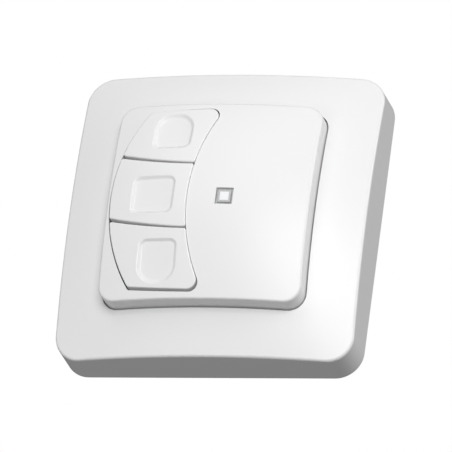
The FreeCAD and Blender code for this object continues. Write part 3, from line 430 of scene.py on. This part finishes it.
WHITE_PLASTIC = Finish("white_plastic", (0.838, 0.838, 0.838), 0.32, drift=0.012,
                       gloss_drift=0.03, grain_scale=3200.0, grain_height=0.0012)
GREY_PLASTIC = Finish("grey_plastic", (0.62, 0.63, 0.64), 0.5, grain_height=0.003)
LIGHT_GUIDE = WindowFinish("light_guide", (0.86, 0.87, 0.88), 0.2, drift=0.01,
                           gloss_drift=0.02, grain_height=0.0005)
PIN_STEEL = Finish("pin_steel", (0.6, 0.6, 0.61), 0.28, metallic=1.0, grain_height=0.001)
SCREW_STEEL = Finish("screw_steel", (0.58, 0.59, 0.6), 0.32, metallic=1.0, grain_height=0.001)
CELL_STEEL = Finish("cell_steel", (0.66, 0.66, 0.67), 0.25, metallic=1.0, grain_height=0.001)
CRYSTAL_CAN = Finish("crystal_can", (0.64, 0.64, 0.65), 0.22, metallic=1.0, grain_height=0.001)
CONTACT_METAL = Finish("contact_metal", (0.62, 0.46, 0.2), 0.3, metallic=1.0)
AERIAL_WIRE = Finish("aerial_wire", (0.6, 0.32, 0.18), 0.3, metallic=1.0)
BOARD_GREEN = BoardFinish("board_green", (0.02, 0.12, 0.05), 0.35, coat=0.6, drift=0.1)
SOLDER = Finish("solder", (0.62, 0.62, 0.63), 0.24, metallic=1.0, grain_height=0.002)
SWITCH_CASE = Finish("switch_case", (0.02, 0.02, 0.022), 0.45)
SWITCH_PLUNGER = Finish("switch_plunger", (0.05, 0.05, 0.055), 0.4)
HOLDER_PLASTIC = Finish("holder_plastic", (0.025, 0.025, 0.027), 0.5)
CHIP_BLACK = Finish("chip_black", (0.012, 0.012, 0.013), 0.55)
CERAMIC = Finish("capacitor_ceramic", (0.36, 0.25, 0.15), 0.45)
LAMP_RESIN = Finish("lamp_resin", (0.75, 0.76, 0.72), 0.15)

FINISHES = (WHITE_PLASTIC, GREY_PLASTIC, LIGHT_GUIDE, PIN_STEEL, SCREW_STEEL, CELL_STEEL,
            CRYSTAL_CAN, CONTACT_METAL, AERIAL_WIRE, BOARD_GREEN, SOLDER, SWITCH_CASE,
            SWITCH_PLUNGER, HOLDER_PLASTIC, CHIP_BLACK, CERAMIC, LAMP_RESIN)


def dress_nodes() -> Finishes:
    """Give every node of the model the finish that its record slot names.

    Returns:
        All materials by name.
    """
    materials = {finish.name: finish.material() for finish in FINISHES}
    for part in frame["record"]["subparts"]:
        piece = frame["nodes"][part["node"]]
        piece.data.materials.clear()
        piece.data.materials.append(materials[part["material_slot"]])
        LOG.info("%s has the finish %s", part["node"], part["material_slot"])
    return materials


def add_piece(name: str, mesh: bpy.types.Mesh,
              material: bpy.types.Material | None = None) -> bpy.types.Object:
    """Put a mesh in the scene as an object at the origin.

    Args:
        name: Name of the piece.
        mesh: Its mesh, already in place.
        material: Its material, or None to keep the mesh's own.

    Returns:
        The new object.
    """
    if material is not None:
        mesh.materials.clear()
        mesh.materials.append(material)
    piece = bpy.data.objects.new(name, mesh)
    bpy.context.scene.collection.objects.link(piece)
    return piece


def to_mesh(build: bmesh.types.BMesh, name: str) -> bpy.types.Mesh:
    """Turn a finished build into a mesh and free the build.

    Args:
        build: The build, which can't be used afterwards.
        name: Name of the mesh.

    Returns:
        The new mesh.
    """
    mesh = bpy.data.meshes.new(name)
    build.to_mesh(mesh)
    build.free()
    return mesh


def bake(piece: bpy.types.Object) -> bpy.types.Mesh:
    """Evaluate an object's modifiers into a plain mesh and drop the object.

    Args:
        piece: The object with its modifiers.

    Returns:
        The plain mesh.
    """
    bpy.context.view_layer.update()
    graph = bpy.context.evaluated_depsgraph_get()
    mesh = bpy.data.meshes.new_from_object(piece.evaluated_get(graph))
    bpy.data.objects.remove(piece)
    return mesh


def lathe(profile: Profile, segments: int, turn: float = 0.0,
          side: Side = Side.FRONT) -> bpy.types.Mesh:
    """Turn a profile about the axis that points out of the wall.

    Args:
        profile: Radius and height of each ring in millimetres, from pole to pole.
        segments: Number of sides.
        turn: Angle of the first side, in radians.
        side: The side that the heights run towards.

    Returns:
        A closed mesh whose flat ends are fans.
    """
    build = bmesh.new()
    rings = []
    for radius, height in profile:
        level = side.value * height * MM
        if radius == 0.0:
            rings.append([build.verts.new((0.0, level, 0.0))])
            continue
        angles = [turn + 2 * math.pi * i / segments for i in range(segments)]
        rings.append([build.verts.new((radius * MM * math.cos(a), level,
                                       radius * MM * math.sin(a))) for a in angles])
    for ring, following in zip(rings, rings[1:]):
        for i in range(segments):
            j = (i + 1) % segments
            corners = [ring[i % len(ring)], ring[j % len(ring)],
                       following[j % len(following)], following[i % len(following)]]
            build.faces.new(list(dict.fromkeys(corners)))
    bmesh.ops.recalc_face_normals(build, faces=build.faces)
    mesh = to_mesh(build, "lathe")
    mesh.shade_smooth()
    return mesh


def carve(piece: bpy.types.Object, tool: bpy.types.Object) -> bpy.types.Mesh:
    """Cut a tool's form out of a piece and drop both objects.

    Args:
        piece: The object to cut.
        tool: The object whose form goes.

    Returns:
        The plain mesh that is left.
    """
    cutter = piece.modifiers.new("carve", "BOOLEAN")
    cutter.operation = "DIFFERENCE"
    cutter.solver = "EXACT"
    cutter.object = tool
    mesh = bake(piece)
    bpy.data.objects.remove(tool)
    return mesh


def sharpen(mesh: bpy.types.Mesh, angle: float = 35.0) -> None:
    """Shade a mesh smooth and keep its steeper edges sharp.

    Args:
        mesh: The mesh.
        angle: The angle above which an edge stays sharp, in degrees.
    """
    mesh.shade_smooth()
    mesh.set_sharp_from_angle(angle=math.radians(angle))


@dataclass(frozen=True)
class Grid:
    """Places in rows and columns on a plane that faces the front, in millimetres."""

    columns: int
    rows: int
    width: float
    height: float
    centre: tuple[float, float, float]


class GridRepeat:
    """Geometry Nodes that repeat one piece over a grid that faces the front."""

    def __init__(self) -> None:
        """Build the tree with named inputs for the grid, the piece and the finish."""
        self.tree = bpy.data.node_groups.new("grid_repeat", "GeometryNodeTree")
        sockets = (("Columns", "NodeSocketInt"), ("Rows", "NodeSocketInt"),
                   ("Width", "NodeSocketFloat"), ("Height", "NodeSocketFloat"),
                   ("Centre", "NodeSocketVector"), ("Piece", "NodeSocketObject"),
                   ("Finish", "NodeSocketMaterial"))
        self.tree.interface.new_socket("Geometry", in_out="OUTPUT",
                                       socket_type="NodeSocketGeometry")
        self.inputs = {}
        for label, kind in sockets:
            socket = self.tree.interface.new_socket(label, in_out="INPUT", socket_type=kind)
            self.inputs[label] = socket.identifier
        nodes, links = self.tree.nodes, self.tree.links
        given = nodes.new("NodeGroupInput")
        grid = nodes.new("GeometryNodeMeshGrid")
        for label, entry in (("Columns", "Vertices X"), ("Rows", "Vertices Y"),
                             ("Width", "Size X"), ("Height", "Size Y")):
            links.new(given.outputs[label], grid.inputs[entry])
        upright = nodes.new("GeometryNodeTransform")
        upright.inputs["Rotation"].default_value = (math.pi / 2, 0.0, 0.0)
        links.new(grid.outputs["Mesh"], upright.inputs["Geometry"])
        links.new(given.outputs["Centre"], upright.inputs["Translation"])
        piece = nodes.new("GeometryNodeObjectInfo")
        links.new(given.outputs["Piece"], piece.inputs["Object"])
        copies = nodes.new("GeometryNodeInstanceOnPoints")
        links.new(upright.outputs["Geometry"], copies.inputs["Points"])
        links.new(piece.outputs["Geometry"], copies.inputs["Instance"])
        real = nodes.new("GeometryNodeRealizeInstances")
        links.new(copies.outputs["Instances"], real.inputs["Geometry"])
        dress = nodes.new("GeometryNodeSetMaterial")
        links.new(real.outputs["Geometry"], dress.inputs["Geometry"])
        links.new(given.outputs["Finish"], dress.inputs["Material"])
        out = nodes.new("NodeGroupOutput")
        links.new(dress.outputs["Geometry"], out.inputs["Geometry"])

    def repeat(self, name: str, shape: bpy.types.Mesh, grids: list[Grid],
               material: bpy.types.Material) -> bpy.types.Object:
        """Repeat a shape over one or more grids.

        Args:
            name: Name of the new piece.
            shape: The shape to repeat, drawn about the origin.
            grids: The grids that carry it.
            material: The material of all copies.

        Returns:
            One plain object that holds every copy.
        """
        source = add_piece(name + "_source", shape)
        build = bmesh.new()
        for grid in grids:
            carrier = add_piece(name + "_grid", bpy.data.meshes.new(name + "_grid"))
            modifier = carrier.modifiers.new("repeat", "NODES")
            modifier.node_group = self.tree
            values = {"Columns": grid.columns, "Rows": grid.rows,
                      "Width": grid.width * MM, "Height": grid.height * MM,
                      "Centre": [value * MM for value in grid.centre],
                      "Piece": source, "Finish": material}
            for label, value in values.items():
                modifier[self.inputs[label]] = value
            build.from_mesh(bake(carrier))
        mesh = to_mesh(build, name)
        bpy.data.objects.remove(source)
        mesh.shade_smooth()
        return add_piece(name, mesh, material)


@dataclass
class BoardScrews:
    """Four pan head screws with a rolled thread, one for each post of the housing.

    Lengths are in millimetres. head_dome gives shares of the head's radius and
    height. The thread's ridge and the blunt tip are in shares and turns of the
    pitch.
    """

    spacing: float = 39.0
    seat: float = BOARD_FRONT
    head_radius: float = 2.0
    head_height: float = 1.4
    head_dome: Profile = ((0.0, 1.0), (0.45, 0.98), (0.75, 0.87), (0.93, 0.63), (1.0, 0.3),
                          (1.0, 0.06), (0.97, 0.0), (0.0, 0.0))
    head_sides: int = 40
    core_radius: float = 0.82
    thread_radius: float = 1.1
    ridge_share: float = 0.3
    pitch: float = 0.9
    length: float = 7.0
    sunk: float = 0.1
    tip_share: float = 0.35
    tip_turns: float = 1.5
    shank_sides: int = 24
    rings_per_turn: int = 10
    slot_width: float = 0.6
    slot_deep: float = 0.7

    def slot(self) -> bpy.types.Mesh:
        """Draw the block that leaves the straight slot in the head.

        It is longer than the head, and twice as deep as the slot, because its
        middle lies on the top of the dome.

        Returns:
            The block's mesh.
        """
        build = bmesh.new()
        bmesh.ops.create_cube(build, size=1.0)
        bmesh.ops.scale(build, verts=build.verts,
                        vec=(3 * self.head_radius * MM, 2 * self.slot_deep * MM,
                             self.slot_width * MM))
        bmesh.ops.translate(build, verts=build.verts, vec=(0.0, -self.head_height * MM, 0.0))
        return to_mesh(build, "screw_slot")

    def head(self) -> bpy.types.Mesh:
        """Turn the domed pan head and carve its slot.

        Returns:
            The head's mesh, with its seat at the origin.
        """
        profile = tuple((self.head_radius * radius, self.head_height * height)
                        for radius, height in self.head_dome)
        blank = add_piece("screw_head", lathe(profile, self.head_sides))
        mesh = carve(blank, add_piece("screw_slot", self.slot()))
        sharpen(mesh)
        return mesh

    def shank_radius(self, depth: float, share: float) -> float:
        """Work out the radius of the threaded shank at one point.

        Args:
            depth: Depth below the seat.
            share: The share of a full turn round the shank.

        Returns:
            The radius in metres.
        """
        taper = min(1.0, self.tip_share + (self.length - depth) / (self.tip_turns * self.pitch))
        phase = (depth / self.pitch - share) % 1.0
        ridge = max(0.0, 1.0 - abs(phase - 0.5) / self.ridge_share)
        start = min(1.0, depth / self.pitch)
        radius = self.core_radius + (self.thread_radius - self.core_radius) * ridge * start
        return radius * (taper * MM)

    def shank(self) -> bpy.types.Mesh:
        """Draw the shank, which starts inside the head and ends in a blunt tip.

        Returns:
            The closed mesh of the shank.
        """
        sides = self.shank_sides
        rings = int(self.length / self.pitch * self.rings_per_turn)
        build = bmesh.new()
        rows = []
        for ring in range(rings + 1):
            depth = self.length * ring / rings
            row = []
            for side in range(sides):
                angle = 2 * math.pi * side / sides
                radius = self.shank_radius(depth, side / sides)
                row.append(build.verts.new((radius * math.cos(angle), (depth - self.sunk) * MM,
                                            radius * math.sin(angle))))
            rows.append(row)
        for row, following in zip(rows, rows[1:]):
            for side in range(sides):
                after = (side + 1) % sides
                build.faces.new((row[side], row[after], following[after], following[side]))
        build.faces.new(rows[0])
        build.faces.new(list(reversed(rows[-1])))
        bmesh.ops.recalc_face_normals(build, faces=build.faces)
        mesh = to_mesh(build, "screw_shank")
        sharpen(mesh, angle=50.0)
        return mesh

    def build(self, grids: GridRepeat, materials: Finishes) -> None:
        """Repeat the screw over the four posts in place of the plain screws.

        Args:
            grids: The tree that repeats it.
            materials: All materials by name.
        """
        build = bmesh.new()
        build.from_mesh(self.head())
        build.from_mesh(self.shank())
        grid = Grid(2, 2, self.spacing, self.spacing, (0.0, -self.seat, 0.0))
        screws = grids.repeat("threaded_screws", to_mesh(build, "screw"), [grid],
                              materials[SCREW_STEEL.name])
        sharpen(screws.data, angle=40.0)
        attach(screws, "root")
        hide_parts("board_screws")
        LOG.info("threaded screws replace the plain ones")


@dataclass
class CoinCell:
    """The coin cell with its crimped rim, sealing ring and raised faces.

    Each point of a rim is its distance in from the cell's edge and its distance
    from the nearer face, in millimetres.
    """

    front_rim: Profile = ((1.55, 0.0), (1.35, 0.07), (1.25, 0.35), (1.0, 0.4), (0.85, 0.3),
                          (0.45, 0.28), (0.15, 0.4), (0.0, 0.7))
    rear_rim: Profile = ((0.0, 0.35), (0.1, 0.1), (0.35, 0.0), (1.6, 0.0), (1.7, 0.06),
                         (1.95, 0.06), (2.05, 0.0))
    segments: int = 96

    def build(self, materials: Finishes) -> None:
        """Turn the can on the axis of the plain cell, inside the plain cell's box.

        Args:
            materials: All materials by name.
        """
        low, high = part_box("coin_cell")
        centre = (low + high) / 2
        thick = (high.y - low.y) / MM
        wide = (high.x - low.x) / 2 / MM
        profile = [(0.0, thick)]
        profile += [(wide - inward, thick - down) for inward, down in self.front_rim]
        profile += [(wide - inward, up) for inward, up in self.rear_rim]
        profile.append((0.0, 0.0))
        mesh = lathe(tuple(profile), self.segments)
        mesh.transform(Matrix.Translation((centre.x, high.y, centre.z)))
        sharpen(mesh, angle=30.0)
        cell = add_piece("crimped_cell", mesh, materials[CELL_STEEL.name])
        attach(cell, "root")
        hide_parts("coin_cell")
        LOG.info("crimped cell replaces the plain one")


@dataclass
class BoardTrim:
    """Solder and plated holes on both faces of the circuit board.

    A joint is a small mound of solder with a leg's tip in its middle, and a
    plated ring has a shallow hollow.
    """

    leg_width: float = 7.1
    leg_height: float = 4.5
    pairing_switch: tuple[float, float] = (-15.0, -14.0)
    joint: Profile = ((0.0, 0.34), (0.16, 0.33), (0.2, 0.26), (0.3, 0.16), (0.42, 0.07),
                      (0.5, 0.0), (0.0, 0.0))
    joint_sides: int = 16
    ring: Profile = ((0.0, 0.012), (0.15, 0.012), (0.17, 0.035), (0.33, 0.035), (0.36, 0.0),
                     (0.0, 0.0))
    ring_sides: int = 14
    holes: tuple[Grid, ...] = (
        Grid(2, 5, 1.6, 6.4, (-1.0, -BOARD_FRONT, 12.0)),
        Grid(3, 1, 3.4, 0.0, (5.5, -BOARD_FRONT, -19.5)),
        Grid(1, 3, 0.0, 5.0, (4.0, -BOARD_FRONT, -11.0)),
        Grid(2, 2, 3.0, 7.0, (-5.0, -BOARD_FRONT, -9.0)),
        Grid(1, 4, 0.0, 4.8, (-5.5, -BOARD_FRONT, 6.0)),
    )

    def legs(self, places: Places, level: float) -> list[Grid]:
        """Find where the legs of some switches come through the board.

        Args:
            places: Middle of each switch.
            level: Distance of the board's face from the wall.

        Returns:
            One grid of four legs for each switch.
        """
        return [Grid(2, 2, self.leg_width, self.leg_height, (x, -level, z)) for x, z in places]

    def build(self, grids: GridRepeat, materials: Finishes) -> None:
        """Set the joints round the push switches and the rows of plated holes.

        Args:
            grids: The tree that repeats them.
            materials: All materials by name.
        """
        pieces = (("front_solder", lathe(self.joint, self.joint_sides),
                   self.legs(PUSH_SWITCHES, BOARD_FRONT), SOLDER.name),
                  ("rear_solder", lathe(self.joint, self.joint_sides, side=Side.REAR),
                   self.legs((self.pairing_switch,), BOARD_REAR), SOLDER.name),
                  ("plated_holes", lathe(self.ring, self.ring_sides), list(self.holes),
                   CONTACT_METAL.name))
        for name, shape, places, finish in pieces:
            piece = grids.repeat(name, shape, places, materials[finish])
            sharpen(piece.data, angle=45.0)
            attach(piece, "root")
            LOG.info("%s stands on the circuit board", name)


@dataclass
class SwitchRivets:
    """Four small moulded rivets on the face of each push switch."""

    face: float = 17.6
    spacing: float = 4.7
    dome: Profile = ((0.0, 0.2), (0.18, 0.19), (0.3, 0.14), (0.38, 0.05), (0.4, 0.0),
                     (0.0, 0.0))
    sides: int = 16

    def build(self, grids: GridRepeat, materials: Finishes) -> None:
        """Set the rivets near the corners of the three faces.

        Args:
            grids: The tree that repeats them.
            materials: All materials by name.
        """
        places = [Grid(2, 2, self.spacing, self.spacing, (x, -self.face, z))
                  for x, z in PUSH_SWITCHES]
        rivets = grids.repeat("switch_rivets", lathe(self.dome, self.sides), places,
                              materials[SWITCH_CASE.name])
        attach(rivets, "root")
        LOG.info("rivets stand on the push switches")


@dataclass
class PhotoCamera:
    """A long lens at the photograph's viewing angle.

    right and up are the picture's own directions in the part's frame, fitted to
    the outline in the photograph. target is the point at the picture's centre.
    Lengths are in metres, and the sensor is in millimetres.
    """

    right: Vector = Vector((0.957656, 0.260810, 0.121952))
    up: Vector = Vector((-0.001632, -0.418608, 0.908166))
    target: Vector = Vector((-1.18, -1.47, 2.34)) * MM
    picture_width: float = 116.6 * MM
    distance: float = 4.0
    sensor: float = 36.0
    clip_start: float = 0.1
    clip_end: float = 60.0

    def place(self) -> None:
        """Add the camera and make it the scene's own."""
        back = self.right.cross(self.up).normalized()
        data = bpy.data.cameras.new("photo_camera")
        data.sensor_width = self.sensor
        data.sensor_height = self.sensor
        data.sensor_fit = "HORIZONTAL"
        data.lens = self.sensor * self.distance / self.picture_width
        data.clip_start = self.clip_start
        data.clip_end = self.clip_end
        camera = bpy.data.objects.new("photo_camera", data)
        place = self.target + back * self.distance
        turn = Matrix((self.right, self.up, back)).transposed().to_4x4()
        camera.matrix_world = Matrix.Translation(place) @ turn
        bpy.context.scene.collection.objects.link(camera)
        bpy.context.scene.camera = camera


@dataclass(frozen=True)
class Softbox:
    """A square area lamp that faces the part from a direction, in metres and watts."""

    name: str
    direction: tuple[float, float, float]
    power: float
    distance: float = 1.5
    width: float = 0.8

    def place(self) -> None:
        """Add the lamp, turned towards the part."""
        data = bpy.data.lights.new(self.name, "AREA")
        data.shape = "SQUARE"
        data.size = self.width
        data.energy = self.power
        lamp = bpy.data.objects.new(self.name, data)
        towards = Vector(self.direction).normalized()
        lamp.location = towards * self.distance
        lamp.rotation_euler = towards.to_track_quat("Z", "Y").to_euler()
        bpy.context.scene.collection.objects.link(lamp)


@dataclass
class Studio:
    """Plain pale floor, even world and soft lamps, in metres."""

    floor_level: float = -4.6
    floor_radius: float = 14.0
    floor_sides: int = 64
    floor_tone: float = 0.9
    floor_roughness: float = 0.9
    ambient: float = 0.17
    lamps: tuple[Softbox, ...] = (
        Softbox("front_softbox", (0.2578, -0.9622, 0.0872), 12.6),
        Softbox("low_softbox", (-0.2346, -0.8754, -0.4226), 4.5),
        Softbox("side_softbox", (0.8855, -0.1200, 0.4489), 8.6),
        Softbox("high_softbox", (-0.2120, -0.7912, 0.5736), 3.6),
    )

    def world(self) -> None:
        """White where the camera looks past the part, a pale even tone for the light."""
        world = bpy.data.worlds.new("studio_world")
        bpy.context.scene.world = world
        world.use_nodes = True
        nodes, links = world.node_tree.nodes, world.node_tree.links
        nodes.clear()
        out = nodes.new("ShaderNodeOutputWorld")
        rays = nodes.new("ShaderNodeLightPath")
        mix = nodes.new("ShaderNodeMixShader")
        links.new(rays.outputs["Is Camera Ray"], mix.inputs["Fac"])
        for entry, strength in ((1, self.ambient), (2, 1.0)):
            light = nodes.new("ShaderNodeBackground")
            light.inputs["Color"].default_value = (1.0, 1.0, 1.0, 1.0)
            light.inputs["Strength"].default_value = strength
            links.new(light.outputs[0], mix.inputs[entry])
        links.new(mix.outputs[0], out.inputs["Surface"])

    def floor(self) -> None:
        """Lay a wide pale disc far below the part."""
        angles = [2 * math.pi * i / self.floor_sides for i in range(self.floor_sides)]
        rim = [(self.floor_radius * math.cos(angle), self.floor_radius * math.sin(angle),
                self.floor_level) for angle in angles]
        mesh = bpy.data.meshes.new("floor")
        mesh.from_pydata(rim, [], [tuple(range(self.floor_sides))])
        material = bpy.data.materials.new("floor_paper")
        material.use_nodes = True
        shader = material.node_tree.nodes["Principled BSDF"]
        shader.inputs["Base Color"].default_value = (*(self.floor_tone,) * 3, 1.0)
        shader.inputs["Roughness"].default_value = self.floor_roughness
        add_piece("floor", mesh, material)

    def build(self) -> None:
        """Set the world, the floor, the lamps and the plain view transform."""
        bpy.context.scene.view_settings.view_transform = "Standard"
        self.world()
        self.floor()
        for lamp in self.lamps:
            lamp.place()
            LOG.info("lamp %s", lamp.name)


def main() -> None:
    """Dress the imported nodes, add the small pieces and set up the studio."""
    logging.basicConfig(level=logging.INFO, format="%(name)s: %(message)s")
    grain_group()
    drift_group()
    tracks_group()
    square_group()
    PhotoCamera().place()
    materials = dress_nodes()
    grids = GridRepeat()
    BoardScrews().build(grids, materials)
    CoinCell().build(materials)
    BoardTrim().build(grids, materials)
    SwitchRivets().build(grids, materials)
    Studio().build()


if __name__ == "__main__":
    main()
